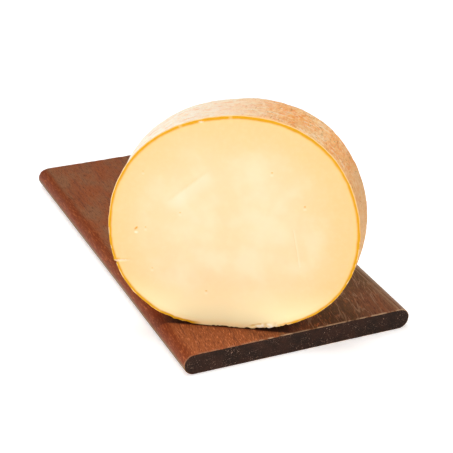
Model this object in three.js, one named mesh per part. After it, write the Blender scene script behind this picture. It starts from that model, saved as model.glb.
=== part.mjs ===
// Half of a round cheese, cut across its middle, standing on its rim on a hardwood board.
// Millimetres, +Z up. The origin is the centre of the board's underside. +Y runs along
// the board, away from the end that the cheese stands near.
import * as THREE from "three";

// Board: a plank with two rounded long edges and two square ends.
const BOARD_LENGTH = 354;
const BOARD_WIDTH = 198.5;
const BOARD_THICKNESS = 18;
const EDGE_RADIUS = BOARD_THICKNESS / 2;
const EDGE_STEPS = 16;

// Cheese: where the middle of its foot stands, and how far it is turned about +Z.
const FOOT_X = -49;
const FOOT_Y = -151;
const FOOT_GAP = 0.3;
const TURN_DEGREES = -31;

// The cut face: nearly round, with a few low swells, and pressed flat along the foot.
const FACE_RADIUS = 95;
const FACE_CENTRE_HEIGHT = 87.8;
const FOOT_SOFTNESS = 1;
const SWELLS = [
  { count: 2, height: 2.7, turnDegrees: 14 },
  { count: 3, height: 1.5, turnDegrees: -32 },
  { count: 4, height: 1.4, turnDegrees: -40 },
];
const FACE_STEPS = 96;

// The body behind the face: its side swells a little and runs askew, because the cut
// isn't square to the wheel, and then it rounds over into the gently crowned back.
const BODY_DEPTH = 47;
const BACK_EDGE_RADIUS = 20;
const BACK_EDGE_STEPS = 6;
const BACK_CROWN = 2;
const BACK_RINGS = 3;
const SIDE_RINGS = 2;
const SIDE_SWELL = 1;
const SIDE_SKEW = 0.11;

const radians = THREE.MathUtils.degToRad;

function boardGeometry() {
  const straight = BOARD_WIDTH / 2 - EDGE_RADIUS;
  const section = new THREE.Shape();
  section.moveTo(-straight, 0);
  section.lineTo(straight, 0);
  section.absarc(straight, EDGE_RADIUS, EDGE_RADIUS, -Math.PI / 2, Math.PI / 2, false);
  section.lineTo(-straight, BOARD_THICKNESS);
  section.absarc(-straight, EDGE_RADIUS, EDGE_RADIUS, Math.PI / 2, (3 * Math.PI) / 2, false);
  const geometry = new THREE.ExtrudeGeometry(section, {
    depth: BOARD_LENGTH,
    bevelEnabled: false,
    curveSegments: EDGE_STEPS,
  });
  geometry.rotateX(Math.PI / 2);
  geometry.translate(0, BOARD_LENGTH / 2, 0);
  return geometry;
}

// The distance from the face's centre to its edge, before the foot is pressed flat.
function faceReach(angle) {
  const swell = (total, { count, height, turnDegrees }) =>
    total + height * Math.cos(count * (angle - radians(turnDegrees)));
  return SWELLS.reduce(swell, FACE_RADIUS);
}

// Heights below the foot come up to it, and the corner at each end of the foot is soft.
function pressFoot(height) {
  return FOOT_SOFTNESS * Math.log1p(Math.exp(height / FOOT_SOFTNESS));
}

// One ring of the body in the cheese's own axes: +X across the face, +Y into the cheese.
function ringPoints({ depth, grow }) {
  const points = [];
  for (let step = 0; step < FACE_STEPS; step += 1) {
    const angle = (2 * Math.PI * step) / FACE_STEPS;
    const reach = faceReach(angle) * (1 + grow / FACE_RADIUS);
    const height = FACE_CENTRE_HEIGHT + reach * Math.sin(angle);
    points.push([SIDE_SKEW * depth + reach * Math.cos(angle), depth, pressFoot(height)]);
  }
  return points;
}

// The rings from the face to the back: depth, and how far the edge grows outwards.
function bodyRings() {
  const sideDepth = BODY_DEPTH - BACK_EDGE_RADIUS;
  const rings = [];
  for (let step = 0; step <= SIDE_RINGS; step += 1) {
    const part = step / SIDE_RINGS;
    rings.push({ depth: sideDepth * part, grow: SIDE_SWELL * part });
  }
  for (let step = 1; step <= BACK_EDGE_STEPS; step += 1) {
    const angle = (Math.PI / 2) * (step / BACK_EDGE_STEPS);
    rings.push({
      depth: sideDepth + BACK_EDGE_RADIUS * Math.sin(angle),
      grow: SIDE_SWELL - BACK_EDGE_RADIUS * (1 - Math.cos(angle)),
    });
  }
  const backReach = FACE_RADIUS + SIDE_SWELL - BACK_EDGE_RADIUS;
  for (let step = 1; step < BACK_RINGS; step += 1) {
    const inwards = step / BACK_RINGS;
    rings.push({
      depth: BODY_DEPTH + BACK_CROWN * (1 - (1 - inwards) ** 2),
      grow: backReach * (1 - inwards) - FACE_RADIUS,
    });
  }
  return rings;
}

function cheeseGeometry() {
  const rings = bodyRings();
  const points = rings.flatMap(ringPoints);
  const backDepth = BODY_DEPTH + BACK_CROWN;
  const faceCentre = points.push([0, 0, FACE_CENTRE_HEIGHT]) - 1;
  const backCentre = points.push([SIDE_SKEW * backDepth, backDepth, FACE_CENTRE_HEIGHT]) - 1;
  const lastRing = (rings.length - 1) * FACE_STEPS;
  const triangles = [];
  for (let step = 0; step < FACE_STEPS; step += 1) {
    const next = (step + 1) % FACE_STEPS;
    triangles.push(faceCentre, step, next);
    triangles.push(backCentre, lastRing + next, lastRing + step);
    for (let ring = 0; ring < lastRing; ring += FACE_STEPS) {
      const behind = ring + FACE_STEPS;
      triangles.push(ring + step, behind + step, behind + next);
      triangles.push(ring + step, behind + next, ring + next);
    }
  }
  const geometry = new THREE.BufferGeometry();
  geometry.setAttribute("position", new THREE.Float32BufferAttribute(points.flat(), 3));
  geometry.setIndex(triangles);
  geometry.computeVertexNormals();
  return geometry;
}

function makeBoard() {
  const wood = new THREE.MeshStandardMaterial({ color: 0x7e4429, roughness: 0.6, metalness: 0 });
  const board = new THREE.Mesh(boardGeometry(), wood);
  board.name = "cheese_board";
  return board;
}

function makeCheese() {
  const paste = new THREE.MeshStandardMaterial({ color: 0xf6dca4, roughness: 0.55, metalness: 0 });
  const cheese = new THREE.Mesh(cheeseGeometry(), paste);
  cheese.name = "cheese_half_wheel";
  cheese.position.set(FOOT_X, FOOT_Y, BOARD_THICKNESS + FOOT_GAP);
  cheese.rotation.z = radians(TURN_DEGREES);
  return cheese;
}

const cheeseOnBoard = new THREE.Group();
cheeseOnBoard.add(makeBoard(), makeCheese());

export default cheeseOnBoard;
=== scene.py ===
"""Half of a round cheese, cut across, standing on its rim on a dark hardwood board.

The cheese and the board are built here in millimetres, in the same frame as the CAD
model, and turned into metres when their meshes are made."""

import math

import bpy
import numpy as np
from mathutils import Matrix, Vector, noise
from mathutils.geometry import delaunay_2d_cdt


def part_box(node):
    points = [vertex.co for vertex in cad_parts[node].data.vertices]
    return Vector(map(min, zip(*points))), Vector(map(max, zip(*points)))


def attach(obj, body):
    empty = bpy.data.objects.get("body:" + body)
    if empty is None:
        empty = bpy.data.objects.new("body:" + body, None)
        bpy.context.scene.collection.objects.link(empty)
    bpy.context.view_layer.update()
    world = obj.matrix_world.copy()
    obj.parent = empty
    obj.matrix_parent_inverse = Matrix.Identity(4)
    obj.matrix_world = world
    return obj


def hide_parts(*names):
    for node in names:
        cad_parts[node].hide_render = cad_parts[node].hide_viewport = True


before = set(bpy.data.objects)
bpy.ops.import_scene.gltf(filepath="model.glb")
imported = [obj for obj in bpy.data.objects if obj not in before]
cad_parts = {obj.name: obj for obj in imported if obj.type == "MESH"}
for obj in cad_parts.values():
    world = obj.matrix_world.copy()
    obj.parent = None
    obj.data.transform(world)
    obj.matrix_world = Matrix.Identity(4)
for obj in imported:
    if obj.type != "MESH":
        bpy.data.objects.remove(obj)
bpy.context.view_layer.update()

MM = 0.001
BODY = "root"

# The board, from the CAD solid.
board_low, board_high = (np.array(corner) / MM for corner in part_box("cheese_board"))
BOARD_WIDTH, BOARD_LENGTH, BOARD_THICKNESS = board_high - board_low
NOSE_RADIUS = BOARD_THICKNESS / 2
END_ROUND = 0.6

# The cheese, as in part.mjs: the place and turn of its foot, and the shape of its body.
FOOT_X, FOOT_Y = -49.0, -151.0
FOOT_GAP = 0.05
TURN_DEGREES = -31.0
FACE_RADIUS = 95.0
FACE_CENTRE_HEIGHT = 87.8
FOOT_SOFTNESS = 1.0
SWELLS = ((2, 2.7, 14.0), (3, 1.5, -32.0), (4, 1.4, -40.0))
BODY_DEPTH = 47.0
BACK_EDGE_RADIUS = 20.0
BACK_CROWN = 2.0
SIDE_SWELL = 1.0
SIDE_SKEW = 0.11


# ---------------------------------------------------------------- meshes


def make_mesh(name, points, faces, materials, face_materials=None):
    """A smooth-shaded object from points in millimetres."""
    mesh = bpy.data.meshes.new(name)
    mesh.from_pydata((np.asarray(points) * MM).tolist(), [], faces)
    for material in materials:
        mesh.materials.append(material)
    if face_materials is not None:
        mesh.polygons.foreach_set("material_index", face_materials)
    mesh.polygons.foreach_set("use_smooth", [True] * len(mesh.polygons))
    mesh.update()
    thing = bpy.data.objects.new(name, mesh)
    bpy.context.scene.collection.objects.link(thing)
    return thing


def point_normals(thing):
    normals = np.empty(len(thing.data.vertices) * 3, np.float32)
    thing.data.vertices.foreach_get("normal", normals)
    return normals.reshape(-1, 3)


def move_points(thing, points):
    """New places, in millimetres, for a thing's points."""
    thing.data.vertices.foreach_set("co", (points * MM).ravel())
    thing.data.update()


def ring_faces(count, first, second, flip):
    """Four-cornered faces between two rings, given the first point of each."""
    faces = []
    for i in range(count):
        j = (i + 1) % count
        quad = [first + i, first + j, second + j, second + i]
        faces.append(quad[::-1] if flip else quad)
    return faces


def add_attribute(thing, name, values):
    """One number, or one vector, for each vertex, for the materials to read."""
    values = np.asarray(values, np.float32)
    kind, field = ("FLOAT", "value") if values.ndim == 1 else ("FLOAT_VECTOR", "vector")
    attribute = thing.data.attributes.new(name, kind, "POINT")
    attribute.data.foreach_set(field, values.ravel())


def fade(value, start, end):
    """0 at start, 1 at end, with an S curve between; start may be the larger."""
    part = np.clip((np.asarray(value, float) - start) / (end - start), 0, 1)
    return part * part * (3 - 2 * part)


def bump(distance, reach):
    """1 at distance 0, falling smoothly to 0 at reach."""
    return fade(distance, reach, 0)


def noise_at(points, size, seed=0.0):
    """Smooth noise from -1 to 1 whose lumps are about size across."""
    shift = Vector((seed, 1.7 * seed, -2.3 * seed))
    return np.array([noise.noise(Vector(point) / size + shift) for point in points])


def segment_distance(x, z, start, end):
    """Distance from each point to a straight line, and how far along it, 0 to 1."""
    start, end = np.array(start, float), np.array(end, float)
    along = end - start
    part = ((x - start[0]) * along[0] + (z - start[1]) * along[1]) / (along @ along)
    part = np.clip(part, 0, 1)
    return np.hypot(x - start[0] - part * along[0], z - start[1] - part * along[1]), part


def hexagonal_points(low, high, spacing):
    """Points on a triangular grid over a rectangle."""
    rows = np.arange(low[1], high[1], spacing * math.sqrt(3) / 2)
    points = []
    for number, height in enumerate(rows):
        start = low[0] + (number % 2) * spacing / 2
        across = np.arange(start, high[0], spacing)
        points.append(np.column_stack([across, np.full(len(across), height)]))
    return np.vstack(points)


def fill_loop(loop, inner):
    """Triangles over a closed 2-D loop and the points inside it. Loop points come first."""
    count = len(loop)
    edges = [(i, (i + 1) % count) for i in range(count)]
    points = [Vector(point) for point in np.vstack([loop, inner])]
    _, _, faces, origins, _, _ = delaunay_2d_cdt(points, edges, [], 1, 1e-5)
    place = [origin[0] for origin in origins]
    return [[place[corner] for corner in face] for face in faces]


# ---------------------------------------------------------------- the cheese's shape

# The body's long details, in the cut face's own axes: x across the face, z up from the foot.
CRACK = ((-92.0, 51.8), (-77.5, 53.8))
CRACK_ANGLE = -157.6
TEAR = ((15.0, 2.6), (37.0, 8.2))
TEAR_ANGLES = (-80.0, -58.0)
SCRATCH = ((45.1, 89.5), (51.2, 59.5))
KNIFE_MARK = ((-54.0, 104.0), (-18.0, 137.0))
NICK = (-26.8, 173.3)
BAND_GAPS = (93.3, 117.6)

# Small eyes in the paste: x, z, half width, half height, turn in degrees, depth.
EYES = (
    (-74.8, 81.4, 1.0, 2.0, -38, 1.5),
    (-67.5, 82.9, 0.7, 0.8, 0, 0.5),
    (-41.1, 97.6, 0.8, 0.7, 20, 0.5),
    (27.1, 136.5, 0.9, 0.7, 10, 0.7),
    (53.0, 110.5, 0.9, 0.9, 0, 0.7),
    (-19.7, 31.1, 1.2, 0.7, 10, 0.7),
    (-69.6, 130.0, 0.6, 0.6, 0, 0.4),
    (-62.2, 47.6, 0.7, 0.6, 0, 0.5),
)
EYE_MARGIN = 3.2
DETAIL_MARGIN = 3.0

# How far in from the rim each loop of face points lies, and the rim's small rounding.
FACE_OFFSETS = (0.3, 0.6, 1.0, 1.5, 2.1, 2.8, 3.7, 4.9)
RIM_ROUND = 0.3
RIM_ROUND_REACH = 0.6


def face_reach(angle):
    """Distance from the face's centre to its edge before the foot is pressed flat."""
    reach = np.full(np.shape(angle), FACE_RADIUS)
    for count, height, turn in SWELLS:
        reach = reach + height * np.cos(count * (angle - math.radians(turn)))
    return reach


def press_foot(height):
    return FOOT_SOFTNESS * np.logaddexp(0, height / FOOT_SOFTNESS)


def rim_angles():
    """Angles round the face, closer together at the crack and along the torn foot."""
    angles, angle = [], -math.pi
    coarse, fine = 1.25, 0.4
    while angle < math.pi - 0.5 * coarse / FACE_RADIUS:
        angles.append(angle)
        degrees = math.degrees(angle)
        near_crack = abs(degrees - CRACK_ANGLE) < 3.0
        near_tear = TEAR_ANGLES[0] < degrees < TEAR_ANGLES[1]
        angle += (fine if near_crack or near_tear else coarse) / FACE_RADIUS
    return np.array(angles)


def ragged_edge(angles):
    """The knife's small unevenness along the rim, and the open mouth of the crack."""
    circle = np.column_stack([np.cos(angles), np.sin(angles), 0 * angles]) * FACE_RADIUS
    uneven = 0.32 * noise_at(circle, 9.0, 3.0) + 0.16 * noise_at(circle, 3.0, 5.0)
    from_crack = (np.degrees(angles) - CRACK_ANGLE) * math.radians(FACE_RADIUS)
    return uneven - 1.1 * bump(np.abs(from_crack), 1.6) + 0.5 * bump(np.abs(from_crack + 2.0), 2.0)


def body_profile():
    """Depth, outward growth and run from the edge for each ring behind the rim."""
    side_depth = BODY_DEPTH - BACK_EDGE_RADIUS
    depths = [0.12, 0.35, 0.7, 1.2, 2.0, 3.0]
    depths += list(np.linspace(4.2, side_depth, 19))
    rings = [(depth, SIDE_SWELL * depth / side_depth, depth) for depth in depths]
    quarter = np.linspace(0, math.pi / 2, 26)[1:]
    for angle in quarter:
        depth = side_depth + BACK_EDGE_RADIUS * math.sin(angle)
        grow = SIDE_SWELL - BACK_EDGE_RADIUS * (1 - math.cos(angle))
        rings.append((depth, grow, side_depth + BACK_EDGE_RADIUS * angle))
    back_reach = FACE_RADIUS + SIDE_SWELL - BACK_EDGE_RADIUS
    back_run = side_depth + BACK_EDGE_RADIUS * math.pi / 2
    for part in np.linspace(0, 1, 48)[1:-1]:
        crown = BACK_CROWN * (1 - (1 - part) ** 2)
        rings.append((BODY_DEPTH + crown, back_reach * (1 - part) - FACE_RADIUS,
                      back_run + back_reach * part))
    return rings


def foot_chips(angles):
    """How much the face's lower edge is chipped away above the board."""
    circle = np.column_stack([np.cos(angles), np.sin(angles), 0 * angles]) * FACE_RADIUS
    chips = fade(noise_at(circle, 5.0, 8.0) + 0.5 * noise_at(circle, 1.8, 9.0), -0.1, 0.5)
    return 0.85 * chips * fade(np.sin(angles), -0.80, -0.90)


def section(angles, depth, grow, raggedness=1.0):
    """One closed ring of the body at a depth, in the cheese's own axes."""
    ragged = raggedness * ragged_edge(angles) * (0.25 + 0.75 * bump(depth, 4.0))
    reach = (face_reach(angles) + ragged) * (1 + grow / FACE_RADIUS)
    x = SIDE_SKEW * depth + reach * np.cos(angles)
    z = press_foot(FACE_CENTRE_HEIGHT + reach * np.sin(angles))
    z += raggedness * foot_chips(angles) * bump(depth, 3.0)
    return np.column_stack([x, np.full(len(angles), depth), z])


def inward(loop, distance):
    """A closed 2-D loop moved inwards."""
    along = np.roll(loop, -1, 0) - np.roll(loop, 1, 0)
    along /= np.linalg.norm(along, axis=1)[:, None]
    normal = np.column_stack([-along[:, 1], along[:, 0]])
    for _ in range(3):
        normal = (np.roll(normal, 1, 0) + 2 * normal + np.roll(normal, -1, 0)) / 4
    normal /= np.linalg.norm(normal, axis=1)[:, None]
    return loop + normal * distance


def fine_places(x, z):
    """True where the face has small details, which need closer points."""
    close = np.zeros(len(x), bool)
    for eye in EYES:
        close |= np.hypot(x - eye[0], z - eye[1]) < max(eye[2:4]) + EYE_MARGIN
    for line in (CRACK, TEAR, SCRATCH):
        close |= segment_distance(x, z, *line)[0] < DETAIL_MARGIN
    close |= np.hypot(x - NICK[0], z - NICK[1]) < DETAIL_MARGIN
    return close


def inside(loop, points):
    """Which points lie inside a closed 2-D loop."""
    x, z = points[:, 0], points[:, 1]
    found = np.zeros(len(points), bool)
    for (x0, z0), (x1, z1) in zip(loop, np.roll(loop, -1, 0)):
        if z0 != z1:
            crosses = (z0 > z) != (z1 > z)
            found ^= crosses & (x < (x1 - x0) * (z - z0) / (z1 - z0) + x0)
    return found


def loop_distance(loop, points):
    """Distance from each point to the nearest point of a closed loop."""
    closest = np.full(len(points), np.inf)
    ends = np.roll(loop, -1, 0)
    for start, end in zip(loop, ends):
        closest = np.minimum(closest, segment_distance(points[:, 0], points[:, 1], start, end)[0])
    return closest


def face_points(inner_loop):
    """Points over the cut face inside its last structured ring."""
    coarse, fine = 1.6, 0.45
    low, high = inner_loop.min(0), inner_loop.max(0)
    wide = hexagonal_points(low, high, coarse)
    wide = wide[~fine_places(*wide.T)]
    close = hexagonal_points(low, high, fine)
    close = close[fine_places(*close.T)]
    points = np.vstack([wide, close])
    points = points[inside(inner_loop, points)]
    return points[loop_distance(inner_loop, points) > 0.35]


class FaceMarks:
    """How far the cut face stands out at each point, and how amber and how pale it is; the amber
    includes painted shade and the pale includes painted highlights.
    """

    def __init__(self, x, z):
        self.x, self.z = x, z
        self.points = np.column_stack([x, 0 * x, z])
        self.out = 0.35 * noise_at(self.points, 55.0, 1.0) + 0.05 * noise_at(self.points, 9.0, 2.0)
        self.amber, self.pale = np.zeros(len(x)), np.zeros(len(x))

    def stain_and_shade(self, amount):
        self.amber = np.maximum(self.amber, amount)

    def whiten_and_highlight(self, amount):
        self.pale = np.maximum(self.pale, amount)

    def near(self, line):
        """Distance from a line, the part along it, and which points are below it."""
        away, part = segment_distance(self.x, self.z, *line)
        below = self.z < line[0][1] + (line[1][1] - line[0][1]) * part
        return away, part, below


def add_eyes(marks):
    """Small holes, amber inside, each with a pale lip below it that is a painted highlight."""
    for eye_x, eye_z, half_width, half_height, degrees, depth in EYES:
        across, up = marks.x - eye_x, marks.z - eye_z
        turn = math.radians(degrees)
        u = across * math.cos(turn) + up * math.sin(turn)
        v = -across * math.sin(turn) + up * math.cos(turn)
        hole = bump(np.hypot(u / half_width, v / half_height), 1.25)
        lip = bump(np.hypot(across / (half_width + 1.2), (up + half_height + 1.5) / 1.6), 1.0)
        marks.out += 0.12 * lip * min(1, depth) - 0.65 * depth * hole
        marks.stain_and_shade(hole * min(1.0, 0.35 + 0.5 * depth))
        marks.whiten_and_highlight(lip * min(0.8, 0.5 * depth))


def add_crack(marks):
    """The crack runs in from the rim and closes up, with a faint painted shadow above it and a pale
    lip below it that is a painted highlight.
    """
    away, part, below = marks.near(CRACK)
    groove = bump(away, 1.3 - 0.7 * part) * fade(part, 1.0, 0.8)
    lip = np.where(below, bump(away, 2.2), 0) * fade(part, 1.0, 0.35)
    wedge = np.where(below, 0, bump(away, 3.2)) * fade(part, 0.42, 0.2)
    shadow = np.where(below, 0, bump(away, 2.8)) * fade(part, 1.0, 0.6)
    marks.out += 0.3 * lip * (1 - groove) - (0.9 - 0.8 * part) * groove - 0.5 * wedge
    # Amber in the crack's mouth, and a faint painted shadow above the crack.
    marks.stain_and_shade(np.maximum(0.95 * wedge, 0.16 * shadow))
    marks.whiten_and_highlight(0.7 * lip)


def add_torn_foot(marks):
    """The skin of the paste is peeled up along a line at the foot and curls out below it."""
    away, part, below = marks.near(TEAR)
    ends = fade(part, 0.0, 0.12) * fade(part, 1.0, 0.9)
    line = bump(away, 0.9) * ends
    flap = np.where(below, 1, 0) * ends * bump(away, 9.0) * fade(part, 0.1, 0.4)
    folds = fade(noise_at(marks.points / np.array([2.2, 1.0, 1.0]), 1.7, 7.0), -0.4, 0.4)
    marks.out += flap * (0.4 + 1.3 * folds) - 1.3 * line
    marks.stain_and_shade(0.8 * line * fade(part, 0.85, 0.55))
    # Amber between the curled skin's folds is painted shade; the skin is pale, palest on the folds'
    # tops as a painted highlight.
    marks.stain_and_shade(0.3 * flap * (1 - folds))
    marks.whiten_and_highlight(flap * (0.15 + 0.85 * folds))


def add_knife_marks(marks):
    """A shallow scratch, pale on its right side as a painted highlight; the mark where the knife
    paused, a faint line of painted shade with a broad painted highlight below it; and a nick near
    the rim.
    """
    away, part, _ = marks.near(SCRATCH)
    right = marks.x > SCRATCH[0][0] + (SCRATCH[1][0] - SCRATCH[0][0]) * part
    marks.out -= 0.2 * bump(away, 0.7)
    marks.stain_and_shade(0.12 * bump(away, 0.8) * fade(part, 1.0, 0.5))
    marks.whiten_and_highlight(np.where(right, 0.25 * bump(away, 2.0), 0))
    away, part, below = marks.near(KNIFE_MARK)
    ends = fade(part, 0.0, 0.25) * fade(part, 1.0, 0.75)
    marks.out -= 0.1 * bump(away, 1.6) * ends
    marks.stain_and_shade(0.07 * bump(away, 1.8) * ends)
    marks.whiten_and_highlight(np.where(below, 0.3 * bump(away, 16.0) * fade(away, 0.0, 2.0), 0) * ends)
    from_nick = np.hypot((marks.x - NICK[0]) / 2.4, (marks.z - NICK[1]) / 0.9)
    marks.out -= 0.5 * bump(from_nick, 1.0)
    marks.whiten_and_highlight(bump(from_nick, 1.1))


def cut_face_marks(x, z, edge):
    """All the marks on the cut face; they fade out at the very edge of it."""
    marks = FaceMarks(x, z)
    for add in (add_eyes, add_crack, add_torn_foot, add_knife_marks):
        add(marks)
    marks.out *= fade(edge, 0.0, 0.8)
    return marks


def band_strength(x, z):
    """How strongly the amber band under the rind shows: it fades out along the foot."""
    angles = np.degrees(np.arctan2(z - FACE_CENTRE_HEIGHT, x))
    along_foot = fade(x, -31.0, -20.0) * fade(x, 52.0, 30.0) * fade(z, 14.0, 9.0)
    strength = 1 - along_foot
    for gap in BAND_GAPS:
        strength = strength - 0.75 * bump(np.abs(angles - gap), 0.9)
    return np.clip(strength, 0, 1)


def band_width(x, z):
    """The amber band's width in millimetres: widest over the top, least at the lower right."""
    angles = np.degrees(np.arctan2(z - FACE_CENTRE_HEIGHT, x)) % 360
    over_top = fade(angles, 35.0, 70.0) * fade(angles, 130.0, 110.0)
    on_left = fade(angles, 135.0, 165.0) * fade(angles, 240.0, 215.0)
    lower_right = fade(angles, 350.0, 325.0) * fade(angles, 270.0, 290.0)
    return 1.75 + 0.45 * over_top - 0.25 * on_left - 0.6 * lower_right


def place_cheese(points):
    """From the cheese's own axes to the board's, in millimetres."""
    turn = Matrix.Rotation(math.radians(TURN_DEGREES), 3, "Z")
    foot = np.array([FOOT_X, FOOT_Y, BOARD_THICKNESS + FOOT_GAP])
    return points @ np.array(turn).T + foot


def rind_relief(points, wrap):
    """How far the rind stands out: soft lumps, small wrinkles, and pits."""
    lumps = 0.55 * noise_at(points, 34.0, 11.0) + 0.28 * noise_at(points, 11.0, 12.0)
    stretched = wrap / np.array([1.3, 1.0, 1.0])
    wrinkles = 0.20 * noise_at(stretched, 5.5, 13.0) + 0.12 * noise_at(stretched, 2.8, 14.0)
    pits = noise_at(points, 4.2, 15.0)
    return lumps + wrinkles - 0.55 * fade(pits, 0.38, 0.75)


def face_layout(angles):
    """Loops inside the rim, the points inside the last loop, and all their runs from the rim."""
    rim_loop = section(angles, 0.0, 0.0)[:, [0, 2]]
    even_loop = section(angles, 0.0, 0.0, 0.0)[:, [0, 2]]
    unevenness = rim_loop - even_loop
    last = FACE_OFFSETS[-1]
    loops = [inward(even_loop, offset) + unevenness * bump(offset, last) for offset in FACE_OFFSETS]
    inner = face_points(loops[-1])
    edge = np.concatenate([np.repeat(FACE_OFFSETS, len(angles)), loop_distance(rim_loop, inner)])
    return loops, inner, edge


def cheese_faces(loops, inner, ring_count):
    """The cut face's faces and the rind's; the points are the rim, the face and the rings."""
    count = len(loops[0])
    paste_faces = []
    for number in range(len(loops)):
        paste_faces += ring_faces(count, number * count, (number + 1) * count, False)
    fill_start = len(loops) * count
    for triangle in fill_loop(loops[-1], inner):
        paste_faces.append([fill_start + corner for corner in triangle])
    first_ring = (len(loops) + 1) * count + len(inner)
    last_ring = first_ring + (ring_count - 1) * count
    back = last_ring + count
    rind_faces = ring_faces(count, 0, first_ring, True)
    for start in range(first_ring, last_ring, count):
        rind_faces += ring_faces(count, start, start + count, True)
    rind_faces += [[last_ring + (i + 1) % count, last_ring + i, back] for i in range(count)]
    return paste_faces, rind_faces


def roughen_rind(thing, points, wrap, is_rind):
    """Moves the rind's points out and in along their normals."""
    relief = np.zeros(len(points))
    relief[is_rind] = rind_relief(points[is_rind], wrap[is_rind])
    relief *= fade(wrap[:, 0], 0.2, 2.5)
    placed = place_cheese(points)
    placed[is_rind] += (point_normals(thing) * relief[:, None])[is_rind]
    placed[:, 2] = np.maximum(placed[:, 2], BOARD_THICKNESS + FOOT_GAP)
    move_points(thing, placed)


def make_cheese(paste, rind):
    angles = rim_angles()
    count = len(angles)
    loops, inner, edge = face_layout(angles)
    flat = np.vstack([*loops, inner])
    marks = cut_face_marks(flat[:, 0], flat[:, 1], edge)
    round_over = RIM_ROUND * np.clip(1 - edge / RIM_ROUND_REACH, 0, 1) ** 2
    face = np.column_stack([flat[:, 0], round_over - marks.out, flat[:, 1]])
    rim = section(angles, 0.0, 0.0)
    rim[:, 1] = RIM_ROUND
    profile = body_profile()
    rings = [section(angles, depth + RIM_ROUND, grow) for depth, grow, _ in profile]
    back_depth = BODY_DEPTH + BACK_CROWN + RIM_ROUND
    middle = [[SIDE_SKEW * back_depth, back_depth, FACE_CENTRE_HEIGHT]]
    points = np.vstack([rim, face, *rings, middle])
    paste_faces, rind_faces = cheese_faces(loops, inner, len(rings))

    # Each point's run from the cut edge, and its place across and up from the middle.
    runs = np.concatenate([[0] * count, edge, *[[run] * count for _, _, run in profile],
                           [profile[-1][2]]])
    x, y, z = points.T
    across = x - SIDE_SKEW * y
    wrap = np.column_stack([runs, across, z - FACE_CENTRE_HEIGHT])
    first_ring = count + len(face)
    is_rind = np.arange(len(points)) >= first_ring
    amber, pale = np.zeros(len(points)), np.zeros(len(points))
    amber[count:first_ring], pale[count:first_ring] = marks.amber, marks.pale

    thing = make_mesh("cheese", place_cheese(points), paste_faces + rind_faces, [paste, rind],
                      [0] * len(paste_faces) + [1] * len(rind_faces))
    roughen_rind(thing, points, wrap, is_rind)
    add_attribute(thing, "edge_mm", np.where(is_rind, 0, runs))
    add_attribute(thing, "band", band_strength(across, z))
    add_attribute(thing, "band_mm", band_width(across, z))
    add_attribute(thing, "amber", amber)
    add_attribute(thing, "pale", pale)
    add_attribute(thing, "wrap_mm", wrap)
    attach(thing, BODY)
    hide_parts("cheese_half_wheel")
    return thing


# ---------------------------------------------------------------- the board's shape


def board_section():
    """The board's outline across its length, with half-round long edges, from below."""
    straight = BOARD_WIDTH / 2 - NOSE_RADIUS
    flat = np.linspace(-straight, straight, 81)
    turn = np.linspace(-math.pi / 2, math.pi / 2, 25)[1:-1]
    nose = np.column_stack([straight + NOSE_RADIUS * np.cos(turn),
                            NOSE_RADIUS + NOSE_RADIUS * np.sin(turn)])
    bottom = np.column_stack([flat, np.zeros(len(flat))])
    top = np.column_stack([flat[::-1], np.full(len(flat), BOARD_THICKNESS)])
    other = np.column_stack([-nose[::-1, 0], nose[::-1, 1]])
    return np.vstack([bottom, nose, top, other])


def board_wear(points):
    """Planing waves on the top, and small dents along the edges at the board's ends."""
    _, y, z = points.T
    stretched = points / np.array([1.0, 3.0, 1.0])
    waves = 0.10 * noise_at(stretched, 22.0, 21.0) + 0.05 * noise_at(stretched, 6.0, 22.0)
    to_end = BOARD_LENGTH / 2 - np.abs(y)
    dents = noise_at(points, 5.0, 23.0)
    worn = 0.35 * fade(dents, 0.15, 0.7) * bump(to_end, 2.5)
    return waves * fade(z, 2.0, 12.0) - worn * fade(z, 0.5, 3.0) - 0.1 * fade(z, 0.0, 4.0)


def board_stations():
    """Each ring's place along the board and its inset; the first and last few round the ends."""
    half = BOARD_LENGTH / 2
    starts = [(-half + END_ROUND * (1 - math.cos(turn)), END_ROUND * (1 - math.sin(turn)))
              for turn in np.linspace(0, math.pi / 2, 5)]
    middle = [(y, 0.0) for y in np.linspace(-half + 1.5, half - 1.5, 120)]
    return starts + middle + [(-y, inset) for y, inset in reversed(starts)]


def end_cap(ring, first, first_inner, flip):
    """A grid of points inside one end of the board, and the faces that close the end."""
    loop, count = ring[:, [0, 2]], len(ring)
    grid = hexagonal_points(loop.min(0), loop.max(0), 2.4)
    grid = grid[inside(loop, grid)]
    grid = grid[loop_distance(loop, grid) > 0.9]
    faces = []
    for triangle in fill_loop(loop, grid):
        corners = [first + c if c < count else first_inner + c - count for c in triangle]
        faces.append(corners if flip else corners[::-1])
    return np.column_stack([grid[:, 0], np.full(len(grid), ring[0, 1]), grid[:, 1]]), faces


def make_board(long_grain, end_grain):
    loop = board_section()
    count = len(loop)
    rings = []
    for y, inset in board_stations():
        ring = inward(loop, inset) if inset else loop
        rings.append(np.column_stack([ring[:, 0], np.full(count, y), ring[:, 1]]))
    points = np.vstack(rings)
    side_faces, cap_faces = [], []
    for start in range(0, len(points) - count, count):
        side_faces += ring_faces(count, start, start + count, True)
    for number, flip in ((0, True), (len(rings) - 1, False)):
        cap_points, faces = end_cap(rings[number], number * count, len(points), flip)
        points = np.vstack([points, cap_points])
        cap_faces += faces
    thing = make_mesh("board", points, side_faces + cap_faces, [long_grain, end_grain],
                      [0] * len(side_faces) + [1] * len(cap_faces))
    points = points + point_normals(thing) * board_wear(points)[:, None]
    points[:, 2] = np.clip(points[:, 2], 0.0, BOARD_THICKNESS)
    move_points(thing, points)
    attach(thing, BODY)
    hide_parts("cheese_board")
    return thing


# ---------------------------------------------------------------- material helpers


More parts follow.
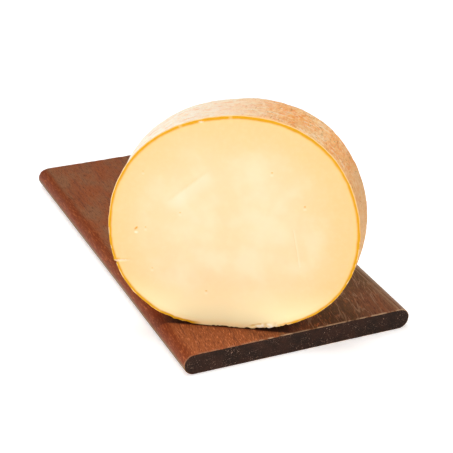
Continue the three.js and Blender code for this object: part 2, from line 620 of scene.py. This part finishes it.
class Surface:
    """A Principled material and short ways to add nodes to it."""

    def __init__(self, name, **sockets):
        self.material = bpy.data.materials.new(name)
        self.material.use_nodes = True
        self.tree = self.material.node_tree
        self.shader = self.tree.nodes["Principled BSDF"]
        for socket, value in sockets.items():
            self.shader.inputs[socket.replace("_", " ")].default_value = value

    def node(self, kind, inputs=None, **settings):
        made = self.tree.nodes.new("ShaderNode" + kind)
        for setting, value in settings.items():
            setattr(made, setting, value)
        for socket, value in (inputs or {}).items():
            self.feed(made.inputs[socket], value)
        return made

    def feed(self, socket, value):
        if isinstance(value, bpy.types.NodeSocket):
            self.tree.links.new(value, socket)
        else:
            socket.default_value = value

    def set(self, socket, value):
        self.feed(self.shader.inputs[socket], value)

    def attribute(self, name, output="Fac"):
        return self.node("Attribute", attribute_name=name).outputs[output]

    def place_mm(self):
        """The point's place in the model's frame, in millimetres."""
        place = self.node("TexCoord").outputs["Object"]
        return self.scaled(place, (1 / MM, 1 / MM, 1 / MM))

    def scaled(self, vector, factors):
        return self.node("VectorMath", {0: vector, 1: factors}, operation="MULTIPLY").outputs[0]

    def moved(self, vector, offset):
        return self.node("VectorMath", {0: vector, 1: offset}, operation="ADD").outputs[0]

    def split(self, vector):
        return self.node("SeparateXYZ", {0: vector}).outputs

    def joined(self, x, y, z):
        return self.node("CombineXYZ", {0: x, 1: y, 2: z}).outputs[0]

    def math(self, operation, first, second=0.0):
        return self.node("Math", {0: first, 1: second}, operation=operation).outputs[0]

    def product(self, first, *others):
        for other in others:
            first = self.math("MULTIPLY", first, other)
        return first

    def swing(self, value, height):
        """A 0 to 1 value as one that swings half of height either way."""
        return self.product(self.math("SUBTRACT", value, 0.5), height)

    def noise(self, vector, size, detail=2.0, rough=0.5, distortion=0.0):
        inputs = {"Vector": vector, "Scale": 1 / size, "Detail": detail, "Roughness": rough,
                  "Distortion": distortion}
        return self.node("TexNoise", inputs).outputs["Fac"]

    def step(self, value, start, end, low=0.0, high=1.0):
        """low at start, high at end, smooth between, and level beyond."""
        inputs = {"Value": value, "From Min": start, "From Max": end, "To Min": low, "To Max": high}
        return self.node("MapRange", inputs, interpolation_type="SMOOTHSTEP").outputs["Result"]

    def mix(self, factor, first, second):
        made = self.node("Mix", data_type="RGBA")
        self.feed(made.inputs[0], factor)
        self.feed(made.inputs[6], colour(first))
        self.feed(made.inputs[7], colour(second))
        return made.outputs[2]

    def relief(self, height, distance_mm, strength=1.0, under=None):
        inputs = {"Height": height, "Distance": distance_mm * MM, "Strength": strength}
        if under is not None:
            inputs["Normal"] = under
        return self.node("Bump", inputs).outputs["Normal"]


def colour(value):
    """An sRGB colour from 0 to 255 as the linear colour that a node takes."""
    if isinstance(value, bpy.types.NodeSocket):
        return value
    parts = [part / 255 for part in value]
    return [p / 12.92 if p <= 0.04045 else ((p + 0.055) / 1.055) ** 2.4 for p in parts] + [1.0]


# ---------------------------------------------------------------- the materials


PASTE_MIDDLE = (249, 209, 162)
PASTE_OUTER = (249, 199, 138)
PASTE_FOOT_PAINTED_LIGHT = (255, 235, 185)
PASTE_HAZE = (254, 234, 204)
PASTE_CRUMB = (255, 230, 190)
PASTE_BY_RIND = (253, 202, 124)
AMBER_BAND = (221, 156, 2)
CUT_RIND_AND_HIGHLIGHT = (253, 216, 160)
AMBER_MARK_AND_SHADE = (226, 166, 30)
PALE_MARK_AND_HIGHLIGHT = (255, 240, 218)
FACE_NORMAL = (-0.515, -0.857, 0.0)
KNIFE_TURN = 0.6


def paste_tone(s, place, edge, across, up):
    """Palest in the middle, deeper towards the rim and the upper right, and painted paler at the
    foot as light, making up for the dimmer light there.
    """
    drift = s.math("ADD", edge, s.swing(s.noise(place, 42.0, 3.0, 0.55), 20.0))
    upper_right = s.math("ADD", s.product(across, 0.8), s.product(up, 0.6))
    upper_right = s.math("MAXIMUM", s.math("SUBTRACT", upper_right, 10.0), 0.0)
    drift = s.math("SUBTRACT", drift, s.product(upper_right, 0.2))
    tone = s.mix(s.step(drift, 50.0, -8.0), PASTE_MIDDLE, PASTE_OUTER)
    # Painted light: paler towards the foot, where the face gets less light.
    tone = s.mix(s.step(up, -42.0, -84.0), tone, PASTE_FOOT_PAINTED_LIGHT)
    haze = s.noise(s.moved(place, (17.0, 5.0, 3.0)), 24.0, 2.0)
    haze = s.product(s.step(haze, 0.40, 0.72), s.step(edge, 12.0, 40.0, 0.0, 0.3))
    tone = s.mix(haze, tone, PASTE_HAZE)
    crumb = s.noise(place, 4.0, 3.0, 0.6)
    tone = s.mix(s.step(crumb, 0.4, 0.75, 0.0, 0.08), tone, PASTE_CRUMB)
    return s.mix(s.step(edge, 7.0, 1.5, 0.0, 0.4), tone, PASTE_BY_RIND)


def band_and_rind(s, tone, place, edge, up):
    """The amber band, sharp outside and soft inside, and the thin cut rind round it, its pale line
    partly a painted highlight where the edge catches the light.
    """
    wobble = s.swing(s.noise(place, 9.0, 2.0), 1.2)
    run = s.math("SUBTRACT", s.math("ADD", edge, wobble), s.attribute("band_mm"))
    tone = s.mix(s.product(s.step(run, 1.7, -0.1), s.attribute("band")), tone, AMBER_BAND)
    # Low down, the cut rind shows only in places.
    bits = s.step(s.noise(s.moved(place, (9.0, 3.0, 27.0)), 5.0, 3.0), 0.46, 0.62)
    bits = s.math("MAXIMUM", bits, s.step(up, -20.0, 25.0))
    # The cut rind's pale line is partly a painted highlight.
    return s.mix(s.product(s.step(edge, 0.75, 0.4, 0.0, 0.8), bits), tone, CUT_RIND_AND_HIGHLIGHT)


def paste_material():
    """The cut paste, with the amber band and the thin cut rind at its rim."""
    s = Surface("cheese_paste", Roughness=0.42, Subsurface_Weight=0.12, Subsurface_Scale=0.0012,
                Subsurface_Radius=(1.0, 0.62, 0.30), Specular_IOR_Level=0.15)
    place = s.place_mm()
    edge = s.attribute("edge_mm")
    _, across, up = s.split(s.attribute("wrap_mm", "Vector"))
    tone = paste_tone(s, place, edge, across, up)
    tone = band_and_rind(s, tone, place, edge, up)
    # The amber attribute holds amber marks and some painted shade; the pale one holds pale marks
    # and some painted highlights.
    tone = s.mix(s.attribute("amber"), tone, AMBER_MARK_AND_SHADE)
    tone = s.mix(s.attribute("pale"), tone, PALE_MARK_AND_HIGHLIGHT)
    s.set("Base Color", tone)
    # Faint lines that the knife dragged across the face, and a fine crumb.
    turned = s.node("VectorRotate", {"Vector": place, "Axis": FACE_NORMAL, "Angle": KNIFE_TURN},
                    rotation_type="AXIS_ANGLE").outputs[0]
    normal = s.relief(s.noise(s.scaled(turned, (0.05, 0.05, 1.0)), 0.9, 2.0), 0.10, 0.35)
    s.set("Normal", s.relief(s.noise(place, 1.1, 3.0, 0.6), 0.08, 0.35, normal))
    s.set("Roughness", s.step(s.noise(place, 6.0, 3.0), 0.3, 0.7, 0.36, 0.52))
    return s.material


RIND_PEACH = (255, 203, 142)
RIND_GOLD = (255, 183, 106)
RIND_BLOTCH = (250, 152, 70)
RIND_BLOOM_AND_LIGHT = (255, 246, 228)
RIND_DEEP_STREAK = (250, 196, 142)
RIND_PALE_STREAK = (255, 228, 192)
RIND_RIDGE = (255, 218, 172)
RIND_CREASE = (222, 134, 60)
RIND_PAINTED_SHADE = (202, 152, 98)
RIND_FLECK = (168, 116, 48)


def rind_tone(s, place, wrap, round_it, up, lit_pale_side):
    """Peach and gold with orange blotches, a dusty pale coat that is painted palest on the upper
    left as the light falling there, and streaks round the wheel.
    """
    broad = s.noise(place, 24.0, 3.0, 0.55)
    tone = s.mix(s.step(broad, 0.38, 0.62), RIND_PEACH, RIND_GOLD)
    blotches = s.noise(s.moved(round_it, (71.0, 13.0, 29.0)), 3.6, 4.0, 0.66)
    blotches = s.math("SUBTRACT", blotches, s.product(lit_pale_side, 0.06))
    blotches = s.math("ADD", blotches, s.swing(broad, 0.4))
    tone = s.mix(s.step(blotches, 0.50, 0.62, 0.0, 0.8), tone, RIND_BLOTCH)
    dust = s.math("SUBTRACT", s.noise(place, 7.0, 5.0, 0.68), 0.5)
    dust = s.product(dust, s.step(lit_pale_side, 0.0, 0.5, 0.3, 0.9))
    bloom_and_light = s.math("MAXIMUM", s.math("ADD", lit_pale_side, dust), 0.0)
    tone = s.mix(bloom_and_light, tone, RIND_BLOOM_AND_LIGHT)
    streaks = s.noise(s.scaled(wrap, (1.0, 0.22, 0.22)), 2.2, 3.0, 0.6)
    over_top = s.step(up, 10.0, 80.0, 0.2, 0.8)
    tone = s.mix(s.product(s.step(streaks, 0.53, 0.66), over_top), tone, RIND_DEEP_STREAK)
    return s.mix(s.product(s.step(streaks, 0.47, 0.36), over_top), tone, RIND_PALE_STREAK)


def rind_material():
    """The rind: peach to golden tan, wrinkled and pitted, dusty, and pale on its upper left, where
    the paleness is partly painted light.
    """
    s = Surface("cheese_rind", Roughness=0.7, Subsurface_Weight=0.08, Subsurface_Scale=0.0015,
                Subsurface_Radius=(1.0, 0.5, 0.25), Specular_IOR_Level=0.2)
    place = s.place_mm()
    wrap = s.attribute("wrap_mm", "Vector")
    _, across, up = s.split(wrap)
    round_it = s.scaled(wrap, (0.75, 1.0, 1.0))
    # Painted light: the side towards the upper left, where the lamps fall most, is made paler.
    lit_pale_side = s.step(s.math("SUBTRACT", s.product(up, 0.6), across), 5.0, 112.0)
    tone = rind_tone(s, place, wrap, round_it, up, lit_pale_side)
    # Wrinkles that wander over it, pale on their ridges and orange-brown in the creases.
    folds = s.noise(round_it, 2.6, 3.0, 0.62, 0.5)
    tone = s.mix(s.step(folds, 0.54, 0.66, 0.0, 0.55), tone, RIND_RIDGE)
    crease = s.step(s.math("ABSOLUTE", s.math("SUBTRACT", folds, 0.43)), 0.06, 0.0, 0.0, 0.45)
    crease = s.product(crease, s.step(lit_pale_side, 0.0, 0.6, 1.0, 0.3))
    tone = s.mix(crease, tone, RIND_CREASE)
    # Painted shade: tan over the right side, where less light falls.
    tone = s.mix(s.step(across, 68.0, 94.0, 0.0, 0.6), tone, RIND_PAINTED_SHADE)
    # Small olive-brown flecks in the pits, few on the pale side.
    crowd = s.noise(s.moved(place, (5.0, 40.0, 9.0)), 9.0, 2.0)
    specks = s.noise(s.moved(round_it, (3.0, 8.0, 61.0)), 1.9, 2.0, 0.55, 0.3)
    flecks = s.product(s.step(specks, 0.60, 0.68), s.step(crowd, 0.42, 0.56))
    flecks = s.product(flecks, s.step(lit_pale_side, 0.0, 0.6, 1.0, 0.15))
    s.set("Base Color", s.mix(s.product(flecks, 0.6), tone, RIND_FLECK))
    normal = s.relief(folds, 0.6, 0.55)
    normal = s.relief(s.noise(place, 0.9, 3.0, 0.6), 0.25, 0.5, normal)
    s.set("Normal", s.relief(s.math("SUBTRACT", 1.0, flecks), 0.4, 0.6, normal))
    s.set("Roughness", s.step(folds, 0.3, 0.7, 0.78, 0.62))
    return s.material


WOOD_RED = (152, 81, 44)
WOOD_PAINTED_SHEEN = (144, 94, 62)
WOOD_BROWN_AND_SHADOW = (97, 71, 42)
WOOD_RUST = (142, 84, 56)
WOOD_DARK_STREAK = (96, 46, 26)
WOOD_PALE_STREAK = (172, 100, 62)
WOOD_FIBRE = (214, 128, 80)
WOOD_GROOVE = (84, 38, 20)
WOOD_PORE = (50, 24, 16)
WOOD_WAVY_LINE = (176, 136, 104)
NOSE_RED = (118, 46, 10)
NOSE_EMBER = (190, 104, 54)
NOSE_STRIPE = (184, 147, 112)
NOSE_LOW_BAND = (126, 104, 70)
UNDERSIDE = (54, 32, 22)
RUBBED_EDGE = (196, 158, 124)
PAINTED_CONTACT_SHADE = (34, 14, 6)


def grain_place(s):
    """The point's place with the grain's slow waves, and its swing at one end, taken out."""
    place = s.place_mm()
    wave = s.swing(s.noise(s.scaled(place, (1.0, 0.28, 1.0)), 38.0, 2.0), 12.0)
    x, y, z = s.split(place)
    bend = s.product(s.math("POWER", s.math("MINIMUM", y, 0.0), 2.0), 0.0006)
    return place, s.joined(s.math("ADD", s.math("ADD", x, wave), bend), y, z)


def wood_ground(s, place, grain):
    """Red-brown with paler patches of painted sheen, streaks, and the browner, darker part at the
    near right, which is partly painted shadow of the cheese.
    """
    x, y, _ = s.split(place)
    # Painted sheen: paler greyish patches over the far part of the top.
    patches = s.noise(s.scaled(grain, (1.0, 0.4, 1.0)), 17.0, 4.0, 0.6)
    painted_sheen = s.product(s.step(patches, 0.38, 0.62), s.step(y, -110.0, -40.0))
    tone = s.mix(painted_sheen, WOOD_RED, WOOD_PAINTED_SHEEN)
    # The browner near right is partly a painted shadow of the cheese.
    drift = s.swing(s.noise(s.scaled(grain, (1.0, 0.12, 1.0)), 12.0, 5.0, 0.65), 90.0)
    right = s.step(s.math("ADD", x, drift), -45.0, 25.0)
    along = s.math("ADD", y, s.product(drift, 2.5))
    right = s.product(right, s.step(along, 130.0, -70.0, 0.2, 1.0))
    tone = s.mix(right, tone, WOOD_BROWN_AND_SHADOW)
    corner = s.product(s.step(x, 40.0, 75.0), s.step(y, -110.0, -160.0), 0.6)
    return s.mix(corner, tone, WOOD_RUST), right


def wood_figure(s, tone, place, grain, right, streak, fibres, pores):
    """Streaks, fibres that are brightest at the near left, pores, and pale wavy lines."""
    x, y, _ = s.split(place)
    tone = s.mix(s.step(streak, 0.48, 0.3, 0.0, 0.5), tone, WOOD_DARK_STREAK)
    tone = s.mix(s.step(streak, 0.55, 0.72, 0.0, 0.35), tone, WOOD_PALE_STREAK)
    near = s.product(s.step(y, -60.0, -135.0, 0.25, 0.9), s.step(x, 70.0, 0.0, 0.35, 1.0))
    tone = s.mix(s.product(s.step(fibres, 0.53, 0.66), near), tone, WOOD_FIBRE)
    tone = s.mix(s.step(fibres, 0.46, 0.36, 0.0, 0.7), tone, WOOD_GROOVE)
    tone = s.mix(s.step(pores, 0.34, 0.27, 0.0, 0.6), tone, WOOD_PORE)
    field = s.noise(s.scaled(grain, (1.0, 0.13, 1.0)), 9.0, 3.0, 0.55, 0.5)
    line = s.step(s.math("ABSOLUTE", s.math("SUBTRACT", field, 0.5)), 0.022, 0.004)
    line = s.product(line, right, s.step(y, -40.0, -100.0, 0.1, 0.5))
    return s.mix(line, tone, WOOD_WAVY_LINE)


def wood_edges(s, tone, place, fibres):
    """Long edges, red on the left and striped on the right, with an olive-tan band low on each;
    rubbed corners.
    """
    x, y, z = s.split(place)
    to_end = s.math("SUBTRACT", BOARD_LENGTH / 2, s.math("ABSOLUTE", y))
    out = s.math("SUBTRACT", s.math("ABSOLUTE", x), BOARD_WIDTH / 2 - NOSE_RADIUS)
    red_nose = s.product(s.step(out, -1.0, 4.0, 0.0, 0.8), s.step(x, 0.0, -1.0))
    tone = s.mix(red_nose, tone, NOSE_RED)
    tone = s.mix(s.product(red_nose, s.step(fibres, 0.5, 0.68), 0.8), tone, NOSE_EMBER)
    stripes = s.noise(s.scaled(place, (1.0, 0.012, 1.0)), 1.6, 3.0, 0.7)
    striped = s.product(s.step(out, -7.0, 2.0), s.step(x, 0.0, 1.0))
    tone = s.mix(s.product(striped, s.step(stripes, 0.40, 0.62, 0.0, 0.8)), tone, NOSE_STRIPE)
    # An olive-tan band low on the outer part of each long edge.
    low_band = s.product(s.step(out, 4.0, 6.2), s.step(z, 10.5, 7.5, 0.0, 0.8))
    tone = s.mix(low_band, tone, NOSE_LOW_BAND)
    tone = s.mix(s.step(z, 1.6, 0.4, 0.0, 0.8), tone, UNDERSIDE)
    # The end edges are rubbed pale, more so on the right and at the near end.
    rubbed = s.product(s.step(to_end, 1.6, 0.5), s.step(s.noise(place, 6.0, 3.0), 0.36, 0.56))
    rubbed = s.product(rubbed, s.step(x, -50.0, -20.0, 0.25, 0.8), s.step(y, 10.0, -10.0, 0.3, 1.0))
    return s.mix(rubbed, tone, RUBBED_EDGE)


def painted_contact_shade(s, place):
    """Painted shade on the wood under the cheese and just in front of its foot."""
    turn = {"Vector": place, "Center": (FOOT_X, FOOT_Y, 0.0), "Angle": math.radians(-TURN_DEGREES)}
    local = s.node("VectorRotate", turn, rotation_type="Z_AXIS").outputs[0]
    across, back, _ = s.split(local)
    ragged = s.swing(s.noise(place, 7.0, 3.0), 2.0)
    from_foot = s.math("ADD", s.math("SUBTRACT", back, FOOT_Y), ragged)
    beside = s.math("ABSOLUTE", s.math("SUBTRACT", across, FOOT_X))
    contact_shade = s.product(s.step(from_foot, -1.8, 0.3), s.step(from_foot, 44.0, 30.0))
    return s.product(contact_shade, s.step(beside, 68.0, 40.0), 0.85)


def long_grain_material():
    """The board's faces and long edges: oiled, red-brown, with streaks and short fibres."""
    s = Surface("board_long_grain", Roughness=0.5, Specular_IOR_Level=0.14)
    place, grain = grain_place(s)
    streak = s.noise(s.scaled(grain, (1.0, 0.06, 1.0)), 4.5, 4.0, 0.6)
    fibres = s.noise(s.scaled(grain, (1.0, 0.14, 1.0)), 0.85, 4.0, 0.66, 0.35)
    pores = s.noise(s.scaled(grain, (1.0, 0.12, 1.0)), 0.6, 1.0)
    tone, right = wood_ground(s, place, grain)
    tone = wood_figure(s, tone, place, grain, right, streak, fibres, pores)
    tone = wood_edges(s, tone, place, fibres)
    # Painted shade under the cheese and at its foot.
    s.set("Base Color", s.mix(painted_contact_shade(s, place), tone, PAINTED_CONTACT_SHADE))
    normal = s.relief(fibres, 0.35, 0.6)
    normal = s.relief(s.noise(s.scaled(grain, (1.0, 0.2, 1.0)), 3.0, 3.0), 0.5, 0.4, normal)
    s.set("Normal", s.relief(pores, 0.25, 0.5, normal))
    s.set("Roughness", s.step(streak, 0.3, 0.7, 0.42, 0.58))
    return s.material


END_DARK = (36, 22, 14)
END_BROWN = (52, 30, 20)
END_SPECK = (176, 140, 120)
END_PORE = (34, 20, 16)
END_PALE_GRAIN = (104, 74, 60)


def end_grain_material():
    """The board's sawn ends: nearly black-brown, with pale specks and saw marks."""
    s = Surface("board_end_grain", Roughness=0.75, Specular_IOR_Level=0.15)
    place = s.place_mm()
    tone = s.mix(s.step(s.noise(place, 18.0, 4.0, 0.6), 0.35, 0.65), END_DARK, END_BROWN)
    specks = s.product(s.step(s.noise(place, 0.95, 3.0, 0.62, 0.6), 0.61, 0.68),
                       s.step(s.noise(place, 11.0, 3.0), 0.42, 0.58))
    tone = s.mix(s.product(specks, 0.75), tone, END_SPECK)
    pores = s.noise(place, 0.7, 2.0, 0.6)
    tone = s.mix(s.step(pores, 0.42, 0.3, 0.0, 0.5), tone, END_PORE)
    tone = s.mix(s.step(pores, 0.58, 0.72, 0.0, 0.35), tone, END_PALE_GRAIN)
    s.set("Base Color", tone)
    normal = s.relief(s.noise(s.scaled(place, (0.15, 1.0, 1.0)), 0.8, 2.0), 0.15, 0.5)
    s.set("Normal", s.relief(pores, 0.2, 0.6, normal))
    return s.material


# ---------------------------------------------------------------- floor, light, camera


FLOOR_HALF_WIDTH = 6.0
FLOOR_DROP = 0.0004
FLOOR_COLOUR = (246, 246, 246)
FLOOR_GLOW = 0.5
GLOW_RISE = (0.3, 1.8)


def make_floor():
    """A white floor, which glows more with distance, where the lamps no longer reach it."""
    corners = [(-1, -1), (1, -1), (1, 1), (-1, 1)]
    points = [(x * FLOOR_HALF_WIDTH, y * FLOOR_HALF_WIDTH, -FLOOR_DROP) for x, y in corners]
    mesh = bpy.data.meshes.new("floor")
    mesh.from_pydata(points, [], [(0, 1, 2, 3)])
    floor = bpy.data.objects.new("floor", mesh)
    bpy.context.scene.collection.objects.link(floor)
    s = Surface("floor_white", Roughness=0.9, Specular_IOR_Level=0.1)
    s.set("Base Color", colour(FLOOR_COLOUR))
    s.set("Emission Color", colour((255, 255, 255)))
    away = s.node("VectorMath", {0: s.node("TexCoord").outputs["Object"]}, operation="LENGTH")
    s.set("Emission Strength", s.step(away.outputs["Value"], *GLOW_RISE, FLOOR_GLOW, 1.0))
    mesh.materials.append(s.material)


LIGHT_TARGET = Vector((0, -0.05, 0.09))
# How far each lamp stands from the target to the left, to the front and up, in metres as
# the camera looks, with its size and its power.
LAMPS = (
    ("key", (1.15, 0.6, 0.9), 0.9, 5.0),
    ("top", (0.2, 0.0, 1.4), 1.2, 12.0),
    ("front", (0.1, 1.7, 0.32), 0.8, 7.4),
    ("side", (-1.3, 0.1, 0.7), 1.0, 3.3),
)
# The sines of the elevations where the bright walls start to fade and end, and the
# ceiling's brightness.
WALL_TOP = (0.13, 0.3)
CEILING = 0.12


def make_lights():
    left, front, up = Vector((-0.90, 0.43, 0)), Vector((-0.43, -0.90, 0)), Vector((0, 0, 1))
    for name, (to_left, to_front, height), size, power in LAMPS:
        place = LIGHT_TARGET + to_left * left + to_front * front + height * up
        add_lamp(name, place, size, power)
    make_world()


def add_lamp(name, place, size, power):
    data = bpy.data.lights.new(name, "AREA")
    data.shape = "DISK"
    data.size = size
    data.energy = power
    lamp = bpy.data.objects.new(name, data)
    lamp.location = place
    lamp.rotation_mode = "QUATERNION"
    lamp.rotation_quaternion = (LIGHT_TARGET - place).to_track_quat("-Z", "Y")
    bpy.context.scene.collection.objects.link(lamp)


def make_world():
    """White walls all round, up to WALL_TOP above the horizon, and a dim ceiling."""
    world = bpy.data.worlds.new("studio")
    bpy.context.scene.world = world
    world.use_nodes = True
    nodes, links = world.node_tree.nodes, world.node_tree.links
    split = nodes.new("ShaderNodeSeparateXYZ")
    links.new(nodes.new("ShaderNodeTexCoord").outputs["Generated"], split.inputs[0])
    wall = nodes.new("ShaderNodeMapRange")
    wall.interpolation_type = "SMOOTHSTEP"
    links.new(split.outputs["Z"], wall.inputs["Value"])
    for socket, value in (("From Min", WALL_TOP[0]), ("From Max", WALL_TOP[1]),
                          ("To Min", 1.0), ("To Max", CEILING)):
        wall.inputs[socket].default_value = value
    links.new(wall.outputs["Result"], nodes["Background"].inputs["Color"])


CAMERA_AZIMUTH, CAMERA_ELEVATION, CAMERA_ROLL = -25.347, 27.536, 1.919
CAMERA_TARGET = (0.03399, 0.03701, 0.0)
CAMERA_DISTANCE = 1.35509
CAMERA_LENS, SENSOR_WIDTH = 117.93, 36.0


def make_camera():
    azimuth, elevation, roll = map(math.radians, (CAMERA_AZIMUTH, CAMERA_ELEVATION, CAMERA_ROLL))
    ahead = Vector((-math.sin(azimuth) * math.cos(elevation),
                    math.cos(azimuth) * math.cos(elevation), -math.sin(elevation)))
    level = ahead.cross(Vector((0, 0, 1))).normalized()
    upright = level.cross(ahead)
    right = math.cos(roll) * level + math.sin(roll) * upright
    top = math.cos(roll) * upright - math.sin(roll) * level
    data = bpy.data.cameras.new("camera")
    data.lens = CAMERA_LENS
    data.sensor_width = SENSOR_WIDTH
    camera = bpy.data.objects.new("camera", data)
    turn = Matrix((right, top, -ahead)).transposed().to_4x4()
    camera.matrix_world = Matrix.Translation(Vector(CAMERA_TARGET) - ahead * CAMERA_DISTANCE) @ turn
    bpy.context.scene.collection.objects.link(camera)
    bpy.context.scene.camera = camera


bpy.context.scene.view_settings.view_transform = "Standard"
make_camera()
make_floor()
make_lights()
make_board(long_grain_material(), end_grain_material())
make_cheese(paste_material(), rind_material())
